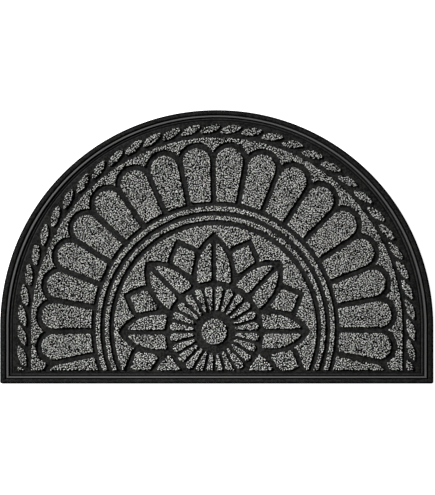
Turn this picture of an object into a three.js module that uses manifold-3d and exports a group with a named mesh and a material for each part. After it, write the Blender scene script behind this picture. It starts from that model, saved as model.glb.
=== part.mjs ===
// A half-round moulded doormat in two pieces: a rubber moulding with a beaded rim, and a sheet of pile
// whose fields stand up between the rubber lines of a rosette, a ring of round-headed lobes and a rope
// border. Millimetres, +Z up. The origin is on the floor under the middle of the mat, +X runs along the
// straight edge and +Y points from the straight edge to the top of the arc.

import * as THREE from "three";
import { mergeVertices } from "three/addons/utils/BufferGeometryUtils.js";
import loadManifold from "manifold-3d";

const wasm = await loadManifold();
wasm.setup();

// Outline of the mat
const WIDTH = 889;
const DEPTH = 561;
const CORNER_RADIUS = 4;
const SMALLEST_CORNER = 0.3;
const HALF_WIDTH = WIDTH / 2;
const ARC_HEIGHT = 445.6;
const ARC_FULLNESS = 0.992;
const ARC_CENTRE_Y = DEPTH / 2 - ARC_HEIGHT;
const STRAIGHT_EDGE_Y = -DEPTH / 2;

// Heights above the floor
const PILE_TOP = 8;
const LINE_TOP = 4.6;
const BACKING_TOP = 3;
const BACKING_BOTTOM = 2;

// The gap that parts rubber and pile, and the pile sheet's margin inside the outline
const CLEARANCE = 0.3;
const BACKING_MARGIN = 22;

// The rim is drawn a little wider at the mat's sides than along its arc's top and straight edge
const RIM_ACROSS = 1.13;
const RIM_ALONG = 0.92;

// Section of the rim, from the underside at the outer edge inward to the flat field: the edge and a flat
// band, a groove, a boxy bead, a second groove, a low ridge and a last groove
const RIM_SECTION = [
  { inset: 0.8, height: 0 },
  { inset: 0, height: 1 },
  { inset: 0.2, height: 3 },
  { inset: 2.2, height: 4.7 },
  { inset: 4, height: 5.2 },
  { inset: 9.2, height: 5.3 },
  { inset: 10.2, height: 3.6 },
  { inset: 11.8, height: 3.6 },
  { inset: 12.6, height: 6 },
  { inset: 13.4, height: 7.2 },
  { inset: 16, height: 7.2 },
  { inset: 16.8, height: 6 },
  { inset: 17.4, height: 3.6 },
  { inset: 18.4, height: 3.6 },
  { inset: 19.4, height: 4.7 },
  { inset: 20.6, height: 5 },
  { inset: 21.8, height: 4.7 },
  { inset: 22.8, height: 4 },
  { inset: 24, height: 4 },
  { inset: 25, height: LINE_TOP },
];

// The straight edge cuts the figure off along this line
const FIGURE_FOOT_Y = STRAIGHT_EDGE_Y + 28;
const SLIVER_HEIGHT = 6;

// Centres of the figure's parts; the whole figure is drawn a little taller than round
const FIGURE_CENTRE = new THREE.Vector2(-2.9, ARC_CENTRE_Y - 2.7);
const ROSETTE_CENTRE = new THREE.Vector2(-4.9, ARC_CENTRE_Y - 8.7);
const BAND_CENTRE = new THREE.Vector2(0.5, ARC_CENTRE_Y - 0.7);
const ROPE_CENTRE = new THREE.Vector2(-0.5, ARC_CENTRE_Y - 0.7);
const FIGURE_RISE = 1.0245;
const TOP_ANGLE = 90;

// Rosette: disc, flutes, pointed petals with small petals between them. The midrib splits those petals whose
// axis has a higher sine than the lowest ones.
const DISC_RADIUS = 25.5;
const FLUTES = { count: 24, turn: 0.4, base: 43.7, headCentre: 83.6, gap: 6.9 };
const PETALS = { count: 8, turn: 0.4, base: 101.4, halfWidth: 33.9, spring: 116.4, tip: 184.2 };
const MIDRIB = 10.4;
const LOWEST_SINE = -0.4;
const SMALL_PETALS = { foot: 124.6, halfFoot: 1.7, shoulder: 161, halfWidth: 25.4, tip: 185.5 };
const PETAL_LINE = 11.3;
const GROUND_RADIUS = 206.7;
const GROUND_INNER_RADIUS = 150;

// Two narrow pile rings round the rosette
const PILE_RINGS = [
  { inner: 217.4, outer: 225.7 },
  { inner: 235.8, outer: 244.6 },
];

// Ring of lobes, and the band of pile outside their arches. The waves say how far the mould strays from
// even: in degrees for the spacing, in millimetres for the reach of the lobes' heads.
const LOBES = { pitch: 11.34, turn: 0.5, base: 254.5, headCentre: 334, gap: 12 };
const LOBE_SWINGS = [
  { count: 1, cosine: 0, sine: 0.12 },
  { count: 2, cosine: -0.22, sine: -1.04 },
  { count: 4, cosine: -0.05, sine: -0.24 },
];
const LOBE_REACH = [
  { count: 1, cosine: 1.9, sine: -0.7 },
  { count: 3, cosine: 0.4, sine: -1.2 },
];
const LOBES_EACH_SIDE = 10;
const ARCH_LINE = 12;
const BAND_RADIUS = 379.8;

// Rope border: leaves that all lean the same way
const ROPE = { pitch: 6.12, turn: 1, inner: 389.3, outer: 406.6 };
const ROPE_SWINGS = [
  { count: 1, cosine: 0.34, sine: -0.12 },
  { count: 2, cosine: -0.49, sine: -0.46 },
  { count: 4, cosine: 0.46, sine: -0.45 },
];
const LEAF = { halfWidth: 15.9, endShare: 0.48, lean: 11 };
const LEAVES_EACH_SIDE = 17;

// Fineness of the round stretches
const RIM_STEPS = 60;
const CORNER_STEPS = 3;
const RING_STEPS = 48;
const LOBE_HEAD_STEPS = 8;
const ARCH_STEPS = 24;
const FLUTE_HEAD_STEPS = 4;
const PETAL_STEPS = 4;
const DISC_STEPS = 24;
const LEAF_STEPS = 4;

const radians = THREE.MathUtils.degToRad;
const degrees = THREE.MathUtils.radToDeg;
const CENTRE = new THREE.Vector2(0, 0);

const polar = (radius, angle) =>
  new THREE.Vector2(radius * Math.cos(radians(angle)), radius * Math.sin(radians(angle)));

// Points from one angle to another round a centre
function arc(centre, radius, from, to, steps) {
  return Array.from({ length: steps + 1 }, (_, i) =>
    polar(radius, THREE.MathUtils.lerp(from, to, i / steps)).add(centre));
}

// Sets points drawn about a round figure's own centre into the mat, a little taller than round
const place = (points, centre) =>
  points.map((p) => new THREE.Vector2(centre.x + p.x, centre.y + FIGURE_RISE * p.y));

// Moves every side of a counter-clockwise outline inward, or outward for a negative distance
function inset(points, distance) {
  const inward = points.map((p, i) => {
    const side = points[(i + 1) % points.length].clone().sub(p).normalize();
    return new THREE.Vector2(-side.y, side.x);
  });
  return points.map((p, i) => {
    const before = inward[(i + points.length - 1) % points.length];
    const after = inward[i];
    const mitre = before.clone().add(after).multiplyScalar(distance / (1 + before.dot(after)));
    return p.clone().add(mitre);
  });
}

// The mat's outline moved inward: rounded corners on the straight edge, then an arc that is a hair fuller
// than a half circle, as its sine and cosine are raised to a power just under one
function matOutline(margin) {
  const corner = Math.max(CORNER_RADIUS - margin, SMALLEST_CORNER);
  const side = HALF_WIDTH - RIM_ACROSS * margin;
  const crown = ARC_HEIGHT - RIM_ALONG * margin;
  const cornerY = STRAIGHT_EDGE_Y + RIM_ALONG * margin + corner;
  const fuller = (value) => Math.sign(value) * Math.abs(value) ** ARC_FULLNESS;
  return [
    ...arc(new THREE.Vector2(corner - side, cornerY), corner, 180, 270, CORNER_STEPS),
    ...arc(new THREE.Vector2(side - corner, cornerY), corner, 270, 360, CORNER_STEPS),
    ...arc(CENTRE, 1, 0, 180, RIM_STEPS).map((p) =>
      new THREE.Vector2(side * fuller(p.x), ARC_CENTRE_Y + crown * fuller(p.y))),
  ];
}

// Turns a closed geometry into a solid that can be joined and cut
function solidOf(geometry) {
  const bare = geometry.clone();
  bare.deleteAttribute("normal");
  bare.deleteAttribute("uv");
  const merged = mergeVertices(bare);
  return new wasm.Manifold(new wasm.Mesh({
    numProp: 3,
    vertProperties: new Float32Array(merged.attributes.position.array),
    triVerts: new Uint32Array(merged.index.array),
  }));
}

// Turns a solid back into a geometry
function geometryOf(solid) {
  const { vertProperties, triVerts } = solid.getMesh();
  const geometry = new THREE.BufferGeometry();
  geometry.setAttribute("position", new THREE.BufferAttribute(vertProperties, 3));
  geometry.setIndex(new THREE.BufferAttribute(triVerts, 1));
  geometry.computeVertexNormals();
  return geometry;
}

// A flat outline raised from one height to another
function prism(points, bottom, top) {
  const options = { depth: top - bottom, bevelEnabled: false };
  const geometry = new THREE.ExtrudeGeometry(new THREE.Shape(points), options);
  return solidOf(geometry.translate(0, 0, bottom));
}

// A stack of outlines with equally many points, joined side by side and closed at both ends
function loft(rings) {
  const count = rings[0].points.length;
  const positions = rings.flatMap(({ points, height }) => points.flatMap((p) => [p.x, p.y, height]));
  const sides = [];
  for (let ring = 0; ring + 1 < rings.length; ring += 1) {
    for (let i = 0; i < count; i += 1) {
      const low = ring * count + i;
      const lowNext = ring * count + ((i + 1) % count);
      sides.push(low, lowNext, lowNext + count, low, lowNext + count, low + count);
    }
  }
  const topStart = (rings.length - 1) * count;
  const cap = (ring) => THREE.ShapeUtils.triangulateShape(rings[ring].points, []);
  const bottomCap = cap(0).flatMap(([a, b, c]) => [a, c, b]);
  const topCap = cap(rings.length - 1).flatMap((triangle) => triangle.map((i) => i + topStart));
  const geometry = new THREE.BufferGeometry();
  geometry.setAttribute("position", new THREE.Float32BufferAttribute(positions, 3));
  geometry.setIndex([...sides, ...bottomCap, ...topCap]);
  return solidOf(geometry);
}

// A tapered bar with a round outer head, drawn about the figure's centre between two lines from that centre
function roundHeaded({ axis, halfAngle, base, headCentre, gap }, steps) {
  const head = headCentre * Math.sin(radians(halfAngle)) - gap / 2;
  const foot = halfAngle - degrees(Math.asin(gap / 2 / base));
  const quarter = 90 + halfAngle;
  return [
    ...arc(polar(headCentre, axis), head, axis - quarter, axis + quarter, steps),
    polar(base, axis + foot),
    polar(base, axis),
    polar(base, axis - foot),
  ];
}

// How far the mould strays from even at an angle: a sum of waves round the figure
function stray(angle, waves) {
  return waves.reduce((total, { count, cosine, sine }) => {
    const turn = radians(count * angle);
    return total + cosine * Math.cos(turn) + sine * Math.sin(turn);
  }, 0);
}

// An angle on an even spread, as the mould has it
const strayed = (even, waves) => even + stray(even, waves);

// The line between two lobes
const dividerAngle = (index) => strayed(TOP_ANGLE + LOBES.turn + index * LOBES.pitch, LOBE_SWINGS);

// Each lobe stands between two dividers
const lobes = Array.from({ length: 2 * LOBES_EACH_SIDE }, (_, i) => {
  const right = dividerAngle(i - LOBES_EACH_SIDE);
  const left = dividerAngle(i - LOBES_EACH_SIDE + 1);
  const axis = (right + left) / 2;
  const headCentre = LOBES.headCentre + stray(axis, LOBE_REACH);
  return { ...LOBES, axis, headCentre, halfAngle: (left - right) / 2 };
});

// The round line outside a lobe's head, as a full circle
function archOutline({ axis, halfAngle, headCentre, gap }) {
  const radius = headCentre * Math.sin(radians(halfAngle)) - gap / 2 + ARCH_LINE;
  return arc(polar(headCentre, axis), radius, axis, axis + 360, ARCH_STEPS).slice(1);
}

// Points given as [along, across] an axis that runs out from the rosette's centre
const onAxis = (points, axis) =>
  points.map(([along, across]) => new THREE.Vector2(along, across).rotateAround(CENTRE, radians(axis)));

// One side of a petal's edge, from the end of its straight part to where it is as narrow as given. The
// arc of the pile's own edge meets the axis at the tip, and a wider edge is parallel to that one.
function petalEdge(halfWidth, narrowest) {
  const rise = PETALS.tip - PETALS.spring;
  const pileRadius = (rise ** 2 + PETALS.halfWidth ** 2) / (2 * PETALS.halfWidth);
  const radius = pileRadius + halfWidth - PETALS.halfWidth;
  const end = Math.acos((radius - halfWidth + narrowest) / radius);
  return Array.from({ length: PETAL_STEPS + 1 }, (_, i) => {
    const angle = (end * i) / PETAL_STEPS;
    return [PETALS.spring + radius * Math.sin(angle), halfWidth - radius + radius * Math.cos(angle)];
  });
}

// A point of the petals' inner end, which is an arc round the rosette's centre
const petalBase = (across) => [Math.sqrt(PETALS.base ** 2 - across ** 2), across];

// A pointed petal without a midrib
function wholePetal(axis) {
  const left = petalEdge(PETALS.halfWidth, 0);
  const right = left.map(([along, across]) => [along, -across]);
  const base = [PETALS.halfWidth, 0, -PETALS.halfWidth].map(petalBase);
  return onAxis([...right, ...left.slice(0, -1).reverse(), ...base], axis);
}

// Half of a pointed petal, on the side of its midrib that the sign says
function halfPetal(axis, sign) {
  const inner = MIDRIB / 2;
  const points = [petalBase(inner), petalBase(PETALS.halfWidth), ...petalEdge(PETALS.halfWidth, inner)];
  const onSide = points.map(([along, across]) => [along, sign * across]);
  return onAxis(sign > 0 ? onSide.reverse() : onSide, axis);
}

// Petals are split by a midrib, but for the lowest, of which only a corner shows
function petalFields(axis) {
  const lowest = Math.sin(radians(axis)) < LOWEST_SINE;
  return lowest ? [wholePetal(axis)] : [halfPetal(axis, 1), halfPetal(axis, -1)];
}

// A petal together with the line round it
function petalCell(axis) {
  const left = petalEdge(PETALS.halfWidth + PETAL_LINE, 0);
  const right = left.map(([along, across]) => [along, -across]);
  return onAxis([...right, ...left.slice(0, -1).reverse()], axis);
}

// A kite with a narrow flat foot
function smallPetal(axis) {
  const { foot, halfFoot, shoulder, halfWidth, tip } = SMALL_PETALS;
  const right = [[foot, -halfFoot], [shoulder, -halfWidth]];
  const left = [[shoulder, halfWidth], [foot, halfFoot]];
  return onAxis([...right, [tip, 0], ...left], axis);
}

// A small petal together with the line round it
const smallPetalCell = (axis) => inset(smallPetal(axis), -PETAL_LINE);

// A point of the border by its angle round the border's centre; below the centre the border runs straight
function borderPoint(radius, angle) {
  const side = angle < TOP_ANGLE ? 1 : -1;
  const below = Math.min(angle, 180 - angle);
  return below < 0 ? new THREE.Vector2(side * radius, radius * radians(below)) : polar(radius, angle);
}

// One leaf of the rope, from its inner end to its outer end, leaning clockwise on the way out
function ropeLeaf(index) {
  const middle = (ROPE.inner + ROPE.outer) / 2;
  const reach = (ROPE.outer - ROPE.inner) / 2;
  const axis = strayed(TOP_ANGLE + ROPE.turn + index * ROPE.pitch, ROPE_SWINGS);
  const edge = (sign) => Array.from({ length: LEAF_STEPS + 1 }, (_, i) => {
    const out = -1 + (2 * i) / LEAF_STEPS;
    const half = LEAF.halfWidth * Math.sqrt(1 - (1 - LEAF.endShare ** 2) * out * out);
    const aside = sign * half - LEAF.lean * out;
    return borderPoint(middle + reach * out, axis + degrees(aside / middle));
  });
  return [...edge(-1), ...edge(1).reverse()];
}

// The angle at which a circle of the figure meets the figure's foot
const footAngle = (radius) =>
  degrees(Math.asin((FIGURE_FOOT_Y - FIGURE_CENTRE.y) / (FIGURE_RISE * radius)));

// A ring that ends on the figure's foot at both sides
function pileRing({ inner, outer }) {
  return [
    ...arc(CENTRE, outer, footAngle(outer), 180 - footAngle(outer), RING_STEPS),
    ...arc(CENTRE, inner, 180 - footAngle(inner), footAngle(inner), RING_STEPS),
  ];
}

// The outer edge of the band of pile, closed along the figure's foot
function bandOutline() {
  const foot = degrees((FIGURE_FOOT_Y - BAND_CENTRE.y) / (FIGURE_RISE * BAND_RADIUS));
  const edge = arc(CENTRE, BAND_RADIUS, 0, 180, RING_STEPS);
  return [borderPoint(BAND_RADIUS, foot), ...edge, borderPoint(BAND_RADIUS, 180 - foot)];
}

const circle = (radius, steps) => arc(CENTRE, radius, 0, 360, steps).slice(1);

// Evenly spread axes, the first one turned on from the right-hand side
const axes = (count, first) => Array.from({ length: count }, (_, i) => first + (360 / count) * i);
const petalAxes = axes(PETALS.count, PETALS.turn);
const smallPetalAxes = axes(PETALS.count, PETALS.turn + 180 / PETALS.count);
const fluteAxes = axes(FLUTES.count, FLUTES.turn + 180 / FLUTES.count);

// Whether an outline shows as more than a sliver above the figure's foot
const shows = (points) => Math.max(...points.map((p) => p.y)) > FIGURE_FOOT_Y + SLIVER_HEIGHT;

// Outlines that stand alone, set into the mat
function plainOutlines() {
  const leaves = Array.from({ length: 2 * LEAVES_EACH_SIDE + 1 }, (_, i) => ropeLeaf(i - LEAVES_EACH_SIDE));
  const flute = { ...FLUTES, halfAngle: 180 / FLUTES.count };
  const flutes = fluteAxes.map((axis) => roundHeaded({ ...flute, axis }, FLUTE_HEAD_STEPS));
  const petals = petalAxes.flatMap(petalFields);
  const smallPetals = smallPetalAxes.map(smallPetal);
  const ofRosette = [circle(DISC_RADIUS, DISC_STEPS), ...flutes, ...petals, ...smallPetals];
  const lobeBars = lobes.map((lobe) => roundHeaded(lobe, LOBE_HEAD_STEPS));
  const ofFigure = [...lobeBars, ...PILE_RINGS.map(pileRing)];
  return [
    ...leaves.map((points) => place(points, ROPE_CENTRE)),
    ...ofRosette.map((points) => place(points, ROSETTE_CENTRE)),
    ...ofFigure.map((points) => place(points, FIGURE_CENTRE)),
  ].filter(shows);
}

const joined = (solids) => solids.reduce((all, solid) => all.add(solid));

// All the pile's fields as one solid between two heights, each drawn in by a margin. The band is what the
// arches leave inside the border, and the ground is what the petals leave inside the pile rings.
function pileFields(margin, bottom, top) {
  const raised = (points, centre, drawnIn) => prism(inset(place(points, centre), drawnIn), bottom, top);
  const insideArches = [circle(LOBES.headCentre, RING_STEPS), ...lobes.map(archOutline)];
  const archCells = insideArches.map((points) => raised(points, FIGURE_CENTRE, -margin));
  const band = raised(bandOutline(), BAND_CENTRE, margin).subtract(joined(archCells));
  const insidePetals = [
    circle(GROUND_INNER_RADIUS, RING_STEPS),
    ...petalAxes.map(petalCell),
    ...smallPetalAxes.map(smallPetalCell),
  ];
  const petalCells = insidePetals.map((points) => raised(points, ROSETTE_CENTRE, -margin));
  const groundDisc = raised(circle(GROUND_RADIUS, RING_STEPS), FIGURE_CENTRE, margin);
  const ground = groundDisc.subtract(joined(petalCells));
  const plain = plainOutlines().map((points) => prism(inset(points, margin), bottom, top));
  const foot = FIGURE_FOOT_Y + margin;
  const corners = [[-WIDTH, foot], [WIDTH, foot], [WIDTH, DEPTH], [-WIDTH, DEPTH]];
  const aboveFoot = prism(corners.map(([x, y]) => new THREE.Vector2(x, y)), bottom, top);
  return joined([band, ground, ...plain]).intersect(aboveFoot);
}

// The pile sheet: a thin backing with the fields standing on it
function pileSheet() {
  const backing = prism(matOutline(BACKING_MARGIN), BACKING_BOTTOM, BACKING_TOP);
  return backing.add(pileFields(CLEARANCE / 2, BACKING_BOTTOM, PILE_TOP));
}

// The room that the rubber leaves for the pile sheet
function pileRoom() {
  const low = BACKING_BOTTOM - CLEARANCE;
  const slot = prism(matOutline(BACKING_MARGIN - CLEARANCE), low, BACKING_TOP + CLEARANCE);
  return slot.add(pileFields(-CLEARANCE / 2, low, PILE_TOP));
}

// The rubber moulding: the rim's section carried round the outline, flat inside it, with room for the pile
function rubberMoulding() {
  const rings = RIM_SECTION.map(({ inset: margin, height }) => ({ points: matOutline(margin), height }));
  return loft(rings).subtract(pileRoom());
}

// A named mesh with its own material
function part(name, solid, look) {
  const mesh = new THREE.Mesh(geometryOf(solid), new THREE.MeshStandardMaterial(look));
  mesh.name = name;
  return mesh;
}

const doormat = new THREE.Group();
doormat.add(part("rubber_moulding", rubberMoulding(), { color: 0x2a2a2a, roughness: 0.7, metalness: 0 }));
doormat.add(part("pile_sheet", pileSheet(), { color: 0x6d6d6a, roughness: 1, metalness: 0 }));

export default doormat;
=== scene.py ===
import math

import bpy
import numpy as np
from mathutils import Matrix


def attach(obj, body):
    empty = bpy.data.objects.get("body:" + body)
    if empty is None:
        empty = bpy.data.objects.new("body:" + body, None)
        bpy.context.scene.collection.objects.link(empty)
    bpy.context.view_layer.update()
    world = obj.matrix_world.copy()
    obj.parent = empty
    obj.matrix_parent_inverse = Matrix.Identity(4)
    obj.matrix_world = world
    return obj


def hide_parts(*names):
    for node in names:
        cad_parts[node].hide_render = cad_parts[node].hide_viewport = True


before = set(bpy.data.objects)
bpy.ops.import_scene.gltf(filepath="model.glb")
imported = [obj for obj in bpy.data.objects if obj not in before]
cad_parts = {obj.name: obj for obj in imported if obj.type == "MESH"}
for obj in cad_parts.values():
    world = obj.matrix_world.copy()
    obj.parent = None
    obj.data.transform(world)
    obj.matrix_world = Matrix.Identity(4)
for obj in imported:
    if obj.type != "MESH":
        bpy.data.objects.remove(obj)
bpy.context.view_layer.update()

# Sizes in millimetres, as in the CAD part: the outline, and heights above the floor
WIDTH = 889.0
DEPTH = 561.0
CORNER_RADIUS = 4.0
SMALLEST_CORNER = 0.3
HALF_WIDTH = WIDTH / 2
ARC_HEIGHT = 445.6
ARC_FULLNESS = 0.992
ARC_CENTRE_Y = DEPTH / 2 - ARC_HEIGHT
STRAIGHT_EDGE_Y = -DEPTH / 2
LINE_TOP = 4.6
PILE_TOP = 8.0
FIGURE_FOOT_Y = STRAIGHT_EDGE_Y + 28

# The figure: its centres, and how much taller than round it is drawn
FIGURE_CENTRE = (-2.9, ARC_CENTRE_Y - 2.7)
ROSETTE_CENTRE = (-4.9, ARC_CENTRE_Y - 8.7)
BAND_CENTRE = (0.5, ARC_CENTRE_Y - 0.7)
ROPE_CENTRE = (-0.5, ARC_CENTRE_Y - 0.7)
FIGURE_RISE = 1.0245
TOP_ANGLE = 90.0

# Rosette: disc, flutes, pointed petals with small petals between them
DISC_RADIUS = 25.5
FLUTES = {"count": 24, "turn": 0.4, "base": 43.7, "head_centre": 83.6, "gap": 6.9}
PETALS = {"count": 8, "turn": 0.4, "base": 101.4, "half_width": 33.9, "spring": 116.4, "tip": 184.2}
LOWEST_SINE = -0.4
MIDRIB = 10.4
SMALL_PETALS = {"foot": 124.6, "half_foot": 1.7, "shoulder": 161.0, "half_width": 25.4, "tip": 185.5}
PETAL_LINE = 11.3
GROUND_RADIUS = 206.7
GROUND_INNER_RADIUS = 150.0

# Rings, lobes and the band outside them
PILE_RINGS = ((217.4, 225.7), (235.8, 244.6))
LOBES = {"pitch": 11.34, "turn": 0.5, "base": 254.5, "head_centre": 334.0, "gap": 12.0}
LOBES_EACH_SIDE = 10
ARCH_LINE = 12.0
BAND_RADIUS = 379.8

# Rope of leaves along the border
ROPE = {"pitch": 6.12, "turn": 1.0, "inner": 389.3, "outer": 406.6}
LEAVES_EACH_SIDE = 17
LEAF = {"half_width": 15.9, "end_share": 0.48, "lean": 11.0}
LEAF_SLANT = 0.75

# How far the mould strays from even, in degrees: cosine and sine shares by count of waves in a full turn
LOBE_SWINGS = {1: (0.0, 0.12), 2: (-0.22, -1.04), 4: (-0.05, -0.24)}
ROPE_SWINGS = {1: (0.34, -0.12), 2: (-0.49, -0.46), 4: (0.46, -0.45)}

# How far the lobes' heads stray outward, in millimetres, in the same way
LOBE_REACH = {1: (1.9, -0.7), 3: (0.4, -1.2)}

# Corner radius of the petals' fields, and of other fields that have corners
FIELD_CORNER = 6.0
SLIGHT_CORNER = 1.5

# The rim is drawn a little wider at the mat's sides than along its arc's top and straight edge
RIM_ACROSS = 1.13
RIM_ALONG = 0.92

# Section of the rim from the underside inward, as (inset, height)
RIM_EDGE = ((0.8, 0.0), (0.0, 1.0), (0.2, 3.0), (2.2, 4.7), (4.0, 5.2), (9.2, 5.3), (10.2, 3.6), (11.8, 3.6))
RIM_STEP = (
    (17.4, 3.6),
    (18.4, 3.6),
    (19.4, 4.7),
    (20.6, 5.0),
    (21.8, 4.7),
    (22.8, 4.0),
    (24.0, 4.0),
    (25.0, LINE_TOP),
    (27.0, LINE_TOP),
)
BEAD = {"inset": 14.7, "height": 5.1, "radius": 2.2, "squareness": 0.6, "steps": 12}
CORNER_CUTS = 2

# Where the rim is painted pale, for scuffing and as a painted highlight: all along the bead, and faintly on
# the ridge inside it
SCUFF_AND_HIGHLIGHT_WIDTH = 1.6
RIDGE_INSET = 20.6
RIDGE_SCUFF_AND_HIGHLIGHT = 0.1

# Where the rim is rougher and painted dark as shade: the outer edge and the grooves, as shares at insets
MATT_AND_SHADE_INSETS = (0.0, 3.0, 5.0, 9.4, 10.2, 12.0, 13.0, 16.6, 17.4, 18.4, 19.2, 22.0, 22.8, 24.0, 25.0)
MATT_AND_SHADE_SHARES = (1.0, 1.0, 0.0, 0.0, 1.0, 1.0, 0.0, 0.0, 1.0, 1.0, 0.0, 0.0, 1.0, 1.0, 0.0)

# Fineness of the rubber's surface
BOTTOM_STEPS = 60
SIDE_STEPS = 10
CORNER_STEPS = 6
ARC_STEPS = 360
CAP_SHARES = (0.98, 0.9, 0.75, 0.6, 0.45, 0.3, 0.15, 0.05)
CAP_CENTRE = (0.0, -60.0)

# Tufts stand on a triangular grid and stray from it by up to a share of its pitch
TUFT_PITCH = 2.3
TUFT_JITTER = 0.3

# Tufts within a band along a field's edge are seated in one row, and any nearer than the margin are left out
EDGE_BAND = 1.15
EDGE_SEAT = 1.2
TUFT_MARGIN = 0.4

# The step over which the direction of a field's edge is felt
SLOPE_STEP = 0.5

# The least values of what is divided by
SMALLEST_SLOPE = 1e-6
SMALLEST_RADIUS = 1.0

# A tuft's root lies under the rubber's surface, and its tip strays from the pile's top
ROOT_DEPTH = 0.3
TUFT_ROOT = LINE_TOP - ROOT_DEPTH
TIP_STRAY = (-0.8, 0.2)

# A tuft's section: radius, how it differs from tuft to tuft and side to side, and its share at the root
TUFT_SIDES = 4
TUFT_RADIUS = 1.47
RADIUS_SHARES = (0.8, 1.15)
SPOKE_SHARES = (0.8, 1.2)
ROOT_SHARE = 0.85
BELLY_HEIGHT = 0.86

# How far a tip leans any way, and out of the field within reach of its edge
TUFT_LEAN = 0.45
EDGE_LEAN = 0.15
EDGE_REACH = 2.5

# A tuft's root ring, belly ring and tip in its cell of the picture map
MAP_SHARES = (0.45, 0.25, 0.0)

# How finely dark and pale tufts are mixed, and where chance starts
MIX_FINENESS = 1.3
SEED = 7

# Sizes of the patterns in rubber and pile
MOULD_CLOUD = 33.3
RUBBER_GRAIN = 3.03
GRAIN_DEPTH = 0.5
FIBRE_WIDTH = 0.4
FIBRE_LENGTH = 2.67
FIBRE_DEPTH = 0.5

METRES = 0.001


def linear(code):
    """A colour given as sRGB hex digits, as linear red, green, blue and full opacity."""
    srgb = np.array([int(code[i:i + 2], 16) for i in (1, 3, 5)]) / 255
    low = srgb / 12.92
    high = ((srgb + 0.055) / 1.055) ** 2.4
    return (*np.where(srgb <= 0.04045, low, high), 1.0)


def add_mesh(name, points, faces, values, material, smooth=True):
    """A mesh object from points in mm, arrays of faces (one array a corner count) and a value a point."""
    mesh = bpy.data.meshes.new(name)
    corners = np.concatenate([f.ravel() for f in faces])
    counts = np.concatenate([np.full(len(f), f.shape[1]) for f in faces])
    mesh.vertices.add(len(points))
    mesh.loops.add(len(corners))
    mesh.polygons.add(len(counts))
    mesh.vertices.foreach_set("co", (points * METRES).astype(np.float32).ravel())
    mesh.loops.foreach_set("vertex_index", corners.astype(np.int32))
    mesh.polygons.foreach_set("loop_start", (np.cumsum(counts) - counts).astype(np.int32))
    mesh.polygons.foreach_set("use_smooth", np.full(len(counts), smooth))
    for key, value in values.items():
        layer = mesh.attributes.new(key, "FLOAT", "POINT")
        layer.data.foreach_set("value", value.astype(np.float32).ravel())
    mesh.update(calc_edges=True)
    mesh.validate()
    mesh.materials.append(material)
    made = bpy.data.objects.new(name, mesh)
    bpy.context.scene.collection.objects.link(made)
    return made


def add_node(tree, kind, inputs=None, stops=(), **settings):
    """A node with its settings. An input is a value or a socket to link, stops a ramp's (place, colour)."""
    node = tree.nodes.new(kind)
    for key, value in settings.items():
        setattr(node, key, value)
    for key, value in (inputs or {}).items():
        if isinstance(value, bpy.types.NodeSocket):
            tree.links.new(value, node.inputs[key])
        else:
            node.inputs[key].default_value = value
    for i, (place, colour) in enumerate(stops):
        ramp = node.color_ramp.elements
        stop = ramp[i] if i < 2 else ramp.new(place)
        stop.position = place
        stop.color = colour
    return node


def new_material(name):
    """A bare node material: its tree and its surface shader."""
    material = bpy.data.materials.new(name)
    material.use_nodes = True
    return material, material.node_tree, material.node_tree.nodes["Principled BSDF"]


# Materials


def pattern_scale(size):
    """The scale of a pattern whose features have a size in mm."""
    return 1 / (size * METRES)


def rubber_material():
    """Moulded black rubber: near black with cloudy patches where the mould let go, a fine grain, paler on the
    raised bead and the ridge inside it, from scuffing by feet and stacking and as a painted highlight, and
    rougher and painted near black as shade on the outer edge and in the grooves. The grain is drawn 3 mm
    wide, coarser than the real one, so that it shows."""
    material, tree, surface = new_material("moulded_black_rubber")
    place = add_node(tree, "ShaderNodeTexCoord").outputs["Object"]
    patches = {"Vector": place, "Scale": pattern_scale(MOULD_CLOUD), "Detail": 3.0}
    cloud = add_node(tree, "ShaderNodeTexNoise", patches)
    specks = {"Vector": place, "Scale": pattern_scale(RUBBER_GRAIN), "Detail": 2.0}
    grain = add_node(tree, "ShaderNodeTexNoise", specks)
    mottle = add_node(tree, "ShaderNodeMix", {0: 0.8, 2: cloud.outputs[0], 3: grain.outputs[0]})
    dark, light = linear("#0f0f0f"), linear("#2d2d2c")
    black = add_node(tree, "ShaderNodeValToRGB", {0: mottle.outputs[0]}, ((0.4, dark), (0.6, light)))
    # Painted highlight: the bead and ridge are painted pale, partly for scuffing and partly as a highlight
    scuff_and_highlight = add_node(tree, "ShaderNodeAttribute", attribute_name="scuff_and_highlight")
    pale = {0: scuff_and_highlight.outputs["Fac"], 6: black.outputs[0], 7: linear("#686868")}
    scuffed_and_highlighted = add_node(tree, "ShaderNodeMix", pale, data_type="RGBA")
    # Painted shade: the outer edge and grooves are painted near black and made rougher
    matt_and_shade = add_node(tree, "ShaderNodeAttribute", attribute_name="matt_and_shade").outputs["Fac"]
    painted_deep_shade = {0: matt_and_shade, 6: scuffed_and_highlighted.outputs[2], 7: linear("#040404")}
    colour = add_node(tree, "ShaderNodeMix", painted_deep_shade, data_type="RGBA")
    rough = add_node(tree, "ShaderNodeMapRange", {"Value": matt_and_shade, "To Min": 0.42, "To Max": 0.9})
    bump = {"Height": grain.outputs[0], "Strength": 0.25, "Distance": GRAIN_DEPTH * METRES}
    tree.links.new(colour.outputs[2], surface.inputs["Base Color"])
    tree.links.new(add_node(tree, "ShaderNodeBump", bump).outputs[0], surface.inputs["Normal"])
    tree.links.new(rough.outputs[0], surface.inputs["Roughness"])
    surface.inputs["Specular IOR Level"].default_value = 0.12
    return material


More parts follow.
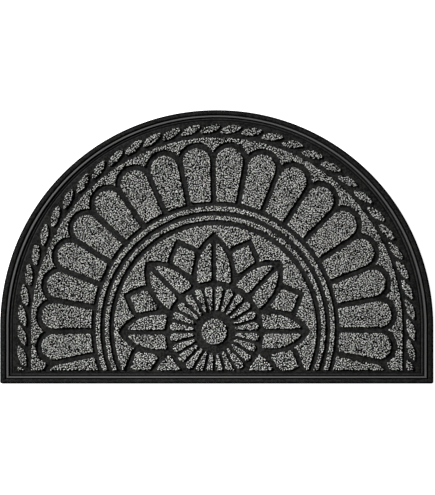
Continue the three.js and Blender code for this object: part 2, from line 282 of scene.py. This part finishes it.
def pile_material():
    """Short cut pile of black, grey and pale man-made fibre, mixed before punching: each tuft has its own
    share of the three, and is painted darker towards its root as shade. Cut fibre ends show as fine dots on
    top and as upright streaks down the sides. They are drawn 0.4 mm thick, coarser than the real ones, so
    that they show."""
    material, tree, surface = new_material("speckled_grey_pile")
    shade = add_node(tree, "ShaderNodeAttribute", attribute_name="shade").outputs["Fac"]
    tip = add_node(tree, "ShaderNodeAttribute", attribute_name="tip").outputs["Fac"]
    stops = (
        (0.0, linear("#010101")),
        (1.0, linear("#fdfffb")),
        (0.49, linear("#1b1b1b")),
        (0.67, linear("#c9cac6")),
    )
    fibre = add_node(tree, "ShaderNodeValToRGB", {0: shade}, stops)
    # Painted shade: each tuft darker towards its root
    depth = add_node(tree, "ShaderNodeMapRange", {"Value": tip, "To Min": 0.3, "To Max": 1.0})
    lit = {0: 1.0, 6: fibre.outputs[0], 7: depth.outputs[0]}
    shaded = add_node(tree, "ShaderNodeMix", lit, data_type="RGBA", blend_type="MULTIPLY").outputs[2]
    place = add_node(tree, "ShaderNodeTexCoord").outputs["Object"]
    upright = {"Vector": place, "Scale": (1.0, 1.0, FIBRE_WIDTH / FIBRE_LENGTH)}
    strand = add_node(tree, "ShaderNodeMapping", upright).outputs[0]
    strands = {"Vector": strand, "Scale": pattern_scale(FIBRE_WIDTH), "Detail": 1.0}
    ends = add_node(tree, "ShaderNodeTexNoise", strands).outputs[0]
    spread = {"Value": ends, "From Min": 0.36, "From Max": 0.64, "To Min": 0.3, "To Max": 1.6}
    streaked = {0: 1.0, 6: shaded, 7: add_node(tree, "ShaderNodeMapRange", spread).outputs[0]}
    colour = add_node(tree, "ShaderNodeMix", streaked, data_type="RGBA", blend_type="MULTIPLY")
    relief = {"Height": ends, "Strength": 1.0, "Distance": FIBRE_DEPTH * METRES}
    bump = add_node(tree, "ShaderNodeBump", relief)
    tree.links.new(colour.outputs[2], surface.inputs["Base Color"])
    tree.links.new(bump.outputs[0], surface.inputs["Normal"])
    surface.inputs["Roughness"].default_value = 0.9
    surface.inputs["Specular IOR Level"].default_value = 0.05
    return material


# Rubber moulding


def outline(insets):
    """The mat's outline moved inward by each inset, as arrays of x and y with a row an inset: the straight
    edge, a rounded corner, the right side, the arc, the left side and the other corner. The arc is a hair
    fuller than a half circle: the sine and cosine are raised to a power just under one."""
    inset = np.asarray(insets, float)[:, None]
    side = HALF_WIDTH - RIM_ACROSS * inset
    crown = ARC_HEIGHT - RIM_ALONG * inset
    foot = STRAIGHT_EDGE_Y + RIM_ALONG * inset
    corner = np.maximum(CORNER_RADIUS - inset, SMALLEST_CORNER)
    run = np.linspace(-1, 1, BOTTOM_STEPS, endpoint=False)
    quarter = np.radians(np.linspace(0, 90, CORNER_STEPS, endpoint=False))
    rise = np.linspace(0, 1, SIDE_STEPS, endpoint=False)
    turn = np.radians(np.linspace(0, 180, ARC_STEPS, endpoint=False))
    height = ARC_CENTRE_Y - foot - corner
    x = np.hstack([
        (side - corner) * run,
        side - corner + corner * np.sin(quarter),
        side + 0 * rise,
        side * np.sign(np.cos(turn)) * np.abs(np.cos(turn)) ** ARC_FULLNESS,
        -side + 0 * rise,
        corner - side - corner * np.cos(quarter),
    ])
    y = np.hstack([
        foot + 0 * run,
        foot + corner - corner * np.cos(quarter),
        foot + corner + height * rise,
        ARC_CENTRE_Y + crown * np.sin(turn) ** ARC_FULLNESS,
        ARC_CENTRE_Y - height * rise,
        foot + corner - corner * np.sin(quarter),
    ])
    return x, y


def cut_corners(points, rounds):
    """Rounds a line's corners: each side gives way to its points at a quarter and three quarters."""
    for _ in range(rounds):
        quarters = 0.75 * points[:-1] + 0.25 * points[1:]
        three_quarters = 0.25 * points[:-1] + 0.75 * points[1:]
        inner = np.stack([quarters, three_quarters], 1).reshape(-1, 2)
        points = np.vstack([points[:1], inner, points[-1:]])
    return points


def rim_section():
    """The rim's section as (inset, height): an outer edge and band, a groove, a boxy round bead, another
    groove, a low ridge and a last groove before the flat field, with all corners rounded."""
    half_turn = np.radians(np.linspace(180, 0, BEAD["steps"] + 1))
    across, up = np.cos(half_turn), np.maximum(np.sin(half_turn), 0)
    bead_x = BEAD["inset"] + BEAD["radius"] * np.sign(across) * np.abs(across) ** BEAD["squareness"]
    bead_z = BEAD["height"] + BEAD["radius"] * up ** BEAD["squareness"]
    section = np.vstack([RIM_EDGE, np.column_stack([bead_x, bead_z]), RIM_STEP])
    return cut_corners(section, CORNER_CUTS)


def rubber_mat(material):
    """The rim's section carried round the outline, closed above and below by rings that shrink to a point.
    One value marks the raised parts of the rim, painted pale for scuffing and as a painted highlight; the
    other marks its outer edge and grooves, rougher and painted dark as shade."""
    section = rim_section()
    shares = np.array(CAP_SHARES)
    below = [(section[0, 0], section[0, 1], s) for s in shares[::-1]]
    along = [(inset, height, 1.0) for inset, height in section]
    above = [(section[-1, 0], section[-1, 1], s) for s in shares]
    inset, height, share = np.array(below + along + above).T
    x, y = outline(inset)
    x = CAP_CENTRE[0] + (x - CAP_CENTRE[0]) * share[:, None]
    y = CAP_CENTRE[1] + (y - CAP_CENTRE[1]) * share[:, None]
    z = np.repeat(height[:, None], x.shape[1], 1)
    rows, count = x.shape
    poles = [[*CAP_CENTRE, height[0]], [*CAP_CENTRE, height[-1]]]
    points = np.vstack([np.stack([x, y, z], 2).reshape(-1, 3), poles])
    ring = np.arange(rows * count).reshape(rows, count)
    after = np.roll(ring, -1, 1)
    sides = np.stack([ring[:-1], after[:-1], after[1:], ring[1:]], 2).reshape(-1, 4)
    floor = np.stack([after[0], ring[0], np.full(count, rows * count)], 1)
    top = np.stack([ring[-1], after[-1], np.full(count, rows * count + 1)], 1)
    # Painted highlight with scuffing: pale along the bead and faintly on the ridge
    bead = np.exp(-((inset - BEAD["inset"]) / SCUFF_AND_HIGHLIGHT_WIDTH) ** 2)
    ridge = RIDGE_SCUFF_AND_HIGHLIGHT * np.exp(-((inset - RIDGE_INSET) / SCUFF_AND_HIGHLIGHT_WIDTH) ** 4)
    scuff_and_highlight = np.append(np.repeat((bead + ridge) * (share == 1), count), [0, 0])
    # Painted shade: near black on the outer edge and in the grooves
    matt_and_shade = np.interp(inset, MATT_AND_SHADE_INSETS, MATT_AND_SHADE_SHARES) * (share == 1)
    matt_and_shade = np.append(np.repeat(matt_and_shade, count), [0, 0])
    return add_mesh("rubber_mat", points, [sides, floor, top], {"scuff_and_highlight": scuff_and_highlight, "matt_and_shade": matt_and_shade}, material)


# Pile figure: each function gives, in mm, how far a point lies inside the pile of one part of the figure


def polar(x, y, centre):
    """Radius and angle in degrees about a centre, from -90 to 270, where the figure is round."""
    across = x - centre[0]
    up = (y - centre[1]) / FIGURE_RISE
    angle = np.degrees(np.arctan2(up, across))
    return np.hypot(across, up), np.where(angle < -90, angle + 360, angle)


def border_polar(x, y, centre):
    """As polar, but below the centre the border runs straight down at both sides."""
    radius, angle = polar(x, y, centre)
    straight = np.maximum(np.abs(x - centre[0]), SMALLEST_RADIUS)
    below = np.degrees((y - centre[1]) / (FIGURE_RISE * straight))
    down = np.where(x > centre[0], below, 180 - below)
    lower = y < centre[1]
    return np.where(lower, straight, radius), np.where(lower, down, angle)


def rounded(corner, *edges):
    """Inside distance to several edges at once, the corners between them rounded: near a corner, the corner
    radius less the root of the summed squares of how much each edge is nearer than that radius."""
    short = np.clip(corner - np.array(edges), 0, None)
    return np.where(short.any(axis=0), corner - np.sqrt((short ** 2).sum(axis=0)), np.min(edges, axis=0))


def round_headed(radius, offset, half, head_centre, shape):
    """A tapered bar with a round head, between two lines from the centre: inside distance to its sides,
    its foot and its head, and the distance beyond its head."""
    side = radius * np.sin(half - np.abs(offset)) - shape["gap"] / 2
    head = head_centre * np.sin(half) - shape["gap"] / 2
    along = radius * np.cos(offset) - head_centre
    reach = np.hypot(along, radius * np.sin(offset))
    inside = np.where(along > 0, head - reach, side)
    beyond = np.where(along > 0, reach - head, -np.inf)
    return rounded(SLIGHT_CORNER, inside, radius - shape["base"]), beyond


def stray(angle, waves):
    """How far the mould strays from even: a sum of waves round the figure, each given by its count in a full
    turn and its cosine and sine shares."""
    total = np.zeros_like(angle)
    for count, (cosine, sine) in waves.items():
        total += cosine * np.cos(np.radians(count * angle)) + sine * np.sin(np.radians(count * angle))
    return total


def lobe_distances(x, y):
    """The lobe that a point's angle falls in, and the distance beyond that lobe's head. The lobes reach
    a little farther out on the right than on the left."""
    radius, angle = polar(x, y, FIGURE_CENTRE)
    even = TOP_ANGLE + LOBES["turn"] + np.arange(-LOBES_EACH_SIDE, LOBES_EACH_SIDE + 1) * LOBES["pitch"]
    divider = even + stray(even, LOBE_SWINGS)
    index = np.clip(np.searchsorted(divider, angle) - 1, 0, len(divider) - 2)
    middle = (divider[index] + divider[index + 1]) / 2
    half = np.radians(divider[index + 1] - divider[index]) / 2
    head = LOBES["head_centre"] + stray(middle, LOBE_REACH)
    return round_headed(radius, np.radians(angle - middle), half, head, LOBES)


def lobes(x, y):
    """A ring of round-headed lobes."""
    return lobe_distances(x, y)[0]


def band(x, y):
    """Pile outside the lobes' arches, up to the line inside the rope."""
    outside_arches = lobe_distances(x, y)[1] - ARCH_LINE
    return rounded(SLIGHT_CORNER, outside_arches, BAND_RADIUS - border_polar(x, y, BAND_CENTRE)[0])


def rings(x, y):
    """Two narrow rings round the rosette: the nearer of the inner and outer circle, for the nearer ring."""
    radius = polar(x, y, FIGURE_CENTRE)[0]
    return np.max([np.minimum(radius - inner, outer - radius) for inner, outer in PILE_RINGS], axis=0)


def rope(x, y):
    """Leaves that lean clockwise on the way out; each is half an ellipse to either side, cut off square. They
    stand a little closer on some stretches than on others."""
    radius, angle = border_polar(x, y, ROPE_CENTRE)
    middle = (ROPE["inner"] + ROPE["outer"]) / 2
    reach = (ROPE["outer"] - ROPE["inner"]) / 2
    out = np.clip((radius - middle) / reach, -1, 1)
    leaned = angle + np.degrees(out * LEAF["lean"] / middle)
    even = TOP_ANGLE + ROPE["turn"] + np.arange(-LEAVES_EACH_SIDE, LEAVES_EACH_SIDE + 1) * ROPE["pitch"]
    axis = even + stray(even, ROPE_SWINGS)
    nearest = axis[np.searchsorted((axis[1:] + axis[:-1]) / 2, leaned)]
    aside = np.radians(np.abs(leaned - nearest)) * middle
    half = LEAF["half_width"] * np.sqrt(1 - (1 - LEAF["end_share"] ** 2) * out ** 2)
    ends = reach - np.abs(radius - middle)
    return rounded(SLIGHT_CORNER, ends, LEAF_SLANT * (half - aside))


def disc(x, y):
    """The round centre of the rosette."""
    return DISC_RADIUS - polar(x, y, ROSETTE_CENTRE)[0]


def flutes(x, y):
    """Narrow round-headed bars round the disc."""
    radius, angle = polar(x, y, ROSETTE_CENTRE)
    pitch = 360 / FLUTES["count"]
    turns = (angle - FLUTES["turn"]) / pitch - 0.5
    offset = np.radians((turns - np.round(turns)) * pitch)
    return round_headed(radius, offset, math.radians(pitch / 2), FLUTES["head_centre"], FLUTES)[0]


def rosette_axes(x, y, shift):
    """Along and across the nearest petal axis, for axes turned on by a share of their pitch."""
    radius, angle = polar(x, y, ROSETTE_CENTRE)
    pitch = 360 / PETALS["count"]
    turns = (angle - PETALS["turn"]) / pitch - shift
    offset = np.radians((turns - np.round(turns)) * pitch)
    return radius * np.cos(offset), np.abs(radius * np.sin(offset))


def petal_edge(x, y):
    """Inside distance to a pointed petal's edge: straight sides, then arcs that meet at its tip."""
    along, across = rosette_axes(x, y, 0)
    rise = PETALS["tip"] - PETALS["spring"]
    arc = (rise ** 2 + PETALS["half_width"] ** 2) / (2 * PETALS["half_width"])
    bent = arc - np.hypot(along - PETALS["spring"], across + arc - PETALS["half_width"])
    return np.where(along > PETALS["spring"], bent, PETALS["half_width"] - across)


def petals(x, y):
    """Pointed petals split by a midrib, but for the lowest two, of which only a corner shows."""
    radius, angle = polar(x, y, ROSETTE_CENTRE)
    across = rosette_axes(x, y, 0)[1]
    whole = rounded(FIELD_CORNER, petal_edge(x, y), radius - PETALS["base"], y - FIGURE_FOOT_Y)
    halves = rounded(FIELD_CORNER, petal_edge(x, y), across - MIDRIB / 2, radius - PETALS["base"])
    lowest = np.sin(np.radians(angle)) < LOWEST_SINE
    return np.where(lowest, whole, halves)


def small_petals(x, y):
    """Kites between the petals: inside distance to the two lower sides, the two upper sides and the foot."""
    along, across = rosette_axes(x, y, 0.5)
    corners = (
        (SMALL_PETALS["half_foot"], SMALL_PETALS["foot"]),
        (SMALL_PETALS["half_width"], SMALL_PETALS["shoulder"]),
        (0.0, SMALL_PETALS["tip"]),
    )
    edges = [along - SMALL_PETALS["foot"]]
    for (x0, y0), (x1, y1) in zip(corners, corners[1:]):
        length = math.hypot(x1 - x0, y1 - y0)
        edges.append(((x1 - x0) * (along - y0) - (y1 - y0) * (across - x0)) / length)
    return rounded(FIELD_CORNER, *edges)


def ground(x, y):
    """Pile between the petals' outlines and the first ring."""
    from_petals = np.minimum(-petal_edge(x, y), -small_petals(x, y)) - PETAL_LINE
    inside = rounded(SLIGHT_CORNER, GROUND_RADIUS - polar(x, y, FIGURE_CENTRE)[0], from_petals)
    return np.minimum(inside, polar(x, y, ROSETTE_CENTRE)[0] - GROUND_INNER_RADIUS)


# Pile tufts


def fine_mix(shape, chance):
    """Evenly spread values from 0 to 1 that tend to differ from their neighbours': noise less a share of the
    mean of the six values round it on the triangular grid, by rank."""
    noise = chance.normal(0, 1, shape)
    odd_row = np.arange(shape[0])[:, None] % 2 == 1
    near = [np.roll(noise, step, 1) for step in (-1, 1)]
    for step in (-1, 1):
        row = np.roll(noise, step, 0)
        near += [row, np.where(odd_row, np.roll(row, -1, 1), np.roll(row, 1, 1))]
    rank = np.argsort(np.argsort((noise - MIX_FINENESS * np.mean(near, axis=0)).ravel()))
    return rank / (rank.size - 1)


def tuft_places(inside, chance):
    """Roots of tufts on a jittered triangular grid where a part of the figure has pile, with the depth
    inside it, the direction out of it and the tuft's shade. Those near its edge are moved to stand in a row
    along that edge."""
    row = TUFT_PITCH * math.sqrt(3) / 2
    along = np.arange(-HALF_WIDTH, HALF_WIDTH, TUFT_PITCH)
    up = np.arange(STRAIGHT_EDGE_Y, DEPTH / 2, row)
    x, y = np.meshgrid(along, up)
    x[1::2] += TUFT_PITCH / 2
    angle = chance.uniform(0, 2 * np.pi, x.shape)
    shift = TUFT_JITTER * TUFT_PITCH * np.sqrt(chance.uniform(0, 1, x.shape))
    x = (x + shift * np.cos(angle)).ravel()
    y = (y + shift * np.sin(angle)).ravel()
    shade = fine_mix(angle.shape, chance)

    def depth(px, py):
        return np.minimum(inside(px, py), py - FIGURE_FOOT_Y)

    near = depth(x, y) > -EDGE_BAND
    x, y, shade = x[near], y[near], shade[near]
    slope_x = depth(x - SLOPE_STEP, y) - depth(x + SLOPE_STEP, y)
    slope_y = depth(x, y - SLOPE_STEP) - depth(x, y + SLOPE_STEP)
    length = np.maximum(np.hypot(slope_x, slope_y), SMALLEST_SLOPE)
    out_x, out_y = slope_x / length, slope_y / length
    reach = depth(x, y)
    pull = np.where(reach < EDGE_BAND, EDGE_SEAT - reach, 0)
    x, y = x - pull * out_x, y - pull * out_y
    reach = depth(x, y)
    kept = reach > TUFT_MARGIN
    return [values[kept] for values in (x, y, reach, out_x, out_y, shade)]


def tufts(name, inside, material, seed):
    """Tufts as closed bodies with few sides: a root ring below the rubber's surface, a wider belly ring and
    a tip. Near a field's edge they lean out a little. Each has a cell of the picture map."""
    chance = np.random.default_rng(seed)
    x, y, depth, out_x, out_y, shade = tuft_places(inside, chance)
    count = len(x)
    edge = np.clip(1 - depth / EDGE_REACH, 0, 1)
    height = PILE_TOP - TUFT_ROOT + chance.uniform(*TIP_STRAY, count)
    radius = TUFT_RADIUS * chance.uniform(*RADIUS_SHARES, count)
    lean = chance.normal(0, TUFT_LEAN, (count, 2)) + (EDGE_LEAN * edge * np.array([out_x, out_y])).T
    turn = chance.uniform(0, 2 * np.pi, count)[:, None] + np.arange(TUFT_SIDES) * 2 * np.pi / TUFT_SIDES
    spoke = np.stack([np.cos(turn), np.sin(turn)], 2)
    ring = spoke * (radius[:, None] * chance.uniform(*SPOKE_SHARES, turn.shape))[:, :, None]
    root = np.stack([x, y], 1)[:, None]
    flat = np.concatenate([
        root + ROOT_SHARE * ring,
        root + ring + BELLY_HEIGHT * lean[:, None],
        root + lean[:, None],
    ], 1)
    levels = np.repeat([0.0, BELLY_HEIGHT, 1.0], [TUFT_SIDES, TUFT_SIDES, 1])
    z = TUFT_ROOT + height[:, None] * levels
    points = np.concatenate([flat, z[:, :, None]], 2)
    low = np.arange(TUFT_SIDES)
    after = (low + 1) % TUFT_SIDES
    fan = np.arange(1, TUFT_SIDES - 1)
    one = np.vstack([
        np.column_stack([0 * fan, fan + 1, fan]),
        np.column_stack([low, after, after + TUFT_SIDES]),
        np.column_stack([low, after + TUFT_SIDES, low + TUFT_SIDES]),
        np.column_stack([low + TUFT_SIDES, after + TUFT_SIDES, np.full(TUFT_SIDES, 2 * TUFT_SIDES)]),
    ])
    corners = len(levels)
    faces = (one[None] + corners * np.arange(count)[:, None, None]).reshape(-1, 3)
    values = {"shade": np.repeat(shade, corners), "tip": np.tile(levels, count)}
    made = add_mesh(name, points.reshape(-1, 3), [faces], values, material)
    cells = math.ceil(math.sqrt(count))
    cell = np.stack([np.arange(count) % cells, np.arange(count) // cells], 1)[:, None]
    inner = np.repeat(MAP_SHARES, [TUFT_SIDES, TUFT_SIDES, 1])[:, None]
    spokes = np.concatenate([spoke, spoke, spoke[:, :1]], 1)
    spots = ((cell + 0.5 + inner * spokes) / cells).reshape(-1, 2)
    layer = made.data.uv_layers.new(name="OFBake")
    layer.uv.foreach_set("vector", spots[faces.ravel()].astype(np.float32).ravel())
    return made


def half_of(inside, sign):
    """One side of the mat's middle line of a part of the figure."""
    return lambda x, y: np.where(sign * (x - FIGURE_CENTRE[0]) > 0, inside(x, y), -np.inf)


def rosette(x, y):
    """Everything of the rosette but its ground."""
    return np.max([disc(x, y), flutes(x, y), petals(x, y), small_petals(x, y)], axis=0)


def rings_and_ground(x, y):
    """The two rings, and the pile round the rosette inside them."""
    return np.maximum(rings(x, y), ground(x, y))


rubber = rubber_mat(rubber_material())
fibre = pile_material()
PILE_PIECES = {
    "pile_rope": rope,
    "pile_band": band,
    "pile_lobes_left": half_of(lobes, -1),
    "pile_lobes_right": half_of(lobes, 1),
    "pile_rings": rings_and_ground,
    "pile_rosette": rosette,
}
pile = [tufts(name, inside, fibre, SEED + i) for i, (name, inside) in enumerate(PILE_PIECES.items())]

for piece in [rubber, *pile]:
    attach(piece, "root")
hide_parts("rubber_moulding")
for piece in pile:
    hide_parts("pile_sheet")

# Stage: a white floor, a key light from the upper left, a lamp below for the underside and a dim room
FLOOR_SIZE = 4000.0
FLOOR_HEIGHT = -0.5
ROOM_STRENGTH = 0.035

# The lamps, in metres: how far off they are, and the pool of light that they throw on the floor
LAMP_DISTANCE = 16.0
POOL_RADIUS = 0.87
POOL_CENTRE = (-0.03, -0.14, 0.0)


def white_floor():
    """A plain white sheet under the mat, so bright that it shows no shade. It throws no light on the mat, and
    from below one sees through it."""
    material, tree, surface = new_material("white_floor")
    surface.inputs["Base Color"].default_value = linear("#e0e0e0")
    surface.inputs["Emission Color"].default_value = (1, 1, 1, 1)
    surface.inputs["Emission Strength"].default_value = 1.0
    signs = np.array([(-1, -1, 0), (1, -1, 0), (1, 1, 0), (-1, 1, 0)])
    corners = signs * FLOOR_SIZE / 2 + [0, 0, FLOOR_HEIGHT]
    floor = add_mesh("floor", corners, [np.array([[0, 1, 2, 3]])], {}, material, smooth=False)
    below = add_node(tree, "ShaderNodeNewGeometry").outputs["Backfacing"]
    clear = add_node(tree, "ShaderNodeBsdfTransparent").outputs[0]
    sheet = add_node(tree, "ShaderNodeMixShader", {0: below, 1: surface.outputs[0], 2: clear})
    tree.links.new(sheet.outputs[0], tree.nodes["Material Output"].inputs["Surface"])
    floor.visible_diffuse = False
    floor.visible_glossy = False
    floor.visible_shadow = False


def far_lamp(name, azimuth, elevation, spread, power):
    """A lamp far off in a direction given in degrees, as is how wide it looks from the mat. Its light falls
    off gently round the mat's middle: its cone is squeezed by the sine of its slant, so that it makes a round
    pool on the floor."""
    slant, turn = math.radians(elevation), math.radians(azimuth)
    lamp = bpy.data.lights.new(name, "SPOT")
    lamp.energy = power
    lamp.spot_blend = 1.0
    lamp.spot_size = 2 * math.atan(POOL_RADIUS / LAMP_DISTANCE)
    lamp.shadow_soft_size = LAMP_DISTANCE * math.tan(math.radians(spread / 2))
    made = bpy.data.objects.new(name, lamp)
    level = math.cos(slant)
    way = np.array([level * math.cos(turn), level * math.sin(turn), math.sin(slant)])
    made.location = np.array(POOL_CENTRE) + LAMP_DISTANCE * way
    made.rotation_euler = (math.pi / 2 - slant, 0, turn + math.pi / 2)
    made.scale = (1, abs(math.sin(slant)), 1)
    bpy.context.scene.collection.objects.link(made)


def room():
    """An even dim room, which looks as white as the floor past the floor's edge."""
    world = bpy.data.worlds.new("room")
    world.use_nodes = True
    tree = world.node_tree
    seen = add_node(tree, "ShaderNodeLightPath").outputs["Is Camera Ray"]
    level = add_node(tree, "ShaderNodeMapRange", {"Value": seen, "To Min": ROOM_STRENGTH, "To Max": 1.0})
    background = tree.nodes["Background"]
    background.inputs["Color"].default_value = (1, 1, 1, 1)
    tree.links.new(level.outputs[0], background.inputs["Strength"])
    bpy.context.scene.world = world


# Camera: straight down, as the photo was taken, with the stretch of floor that it shows and its lens
PHOTO_HEIGHT = 1016.0
PHOTO_CENTRE = (1.6, -1.4)
LENS = 85.0
SENSOR = 36.0


def camera():
    """A long lens that sees the photo's height of the floor."""
    lens = bpy.data.cameras.new("camera")
    lens.lens = LENS
    lens.sensor_width = SENSOR
    made = bpy.data.objects.new("camera", lens)
    made.location = np.array([*PHOTO_CENTRE, PHOTO_HEIGHT * LENS / SENSOR]) * METRES
    bpy.context.scene.collection.objects.link(made)
    bpy.context.scene.camera = made


white_floor()
far_lamp("key", azimuth=147, elevation=27, spread=2, power=28300)
far_lamp("below", azimuth=300, elevation=-55, spread=2, power=8000)
room()
camera()
bpy.context.scene.view_settings.view_transform = "Standard"
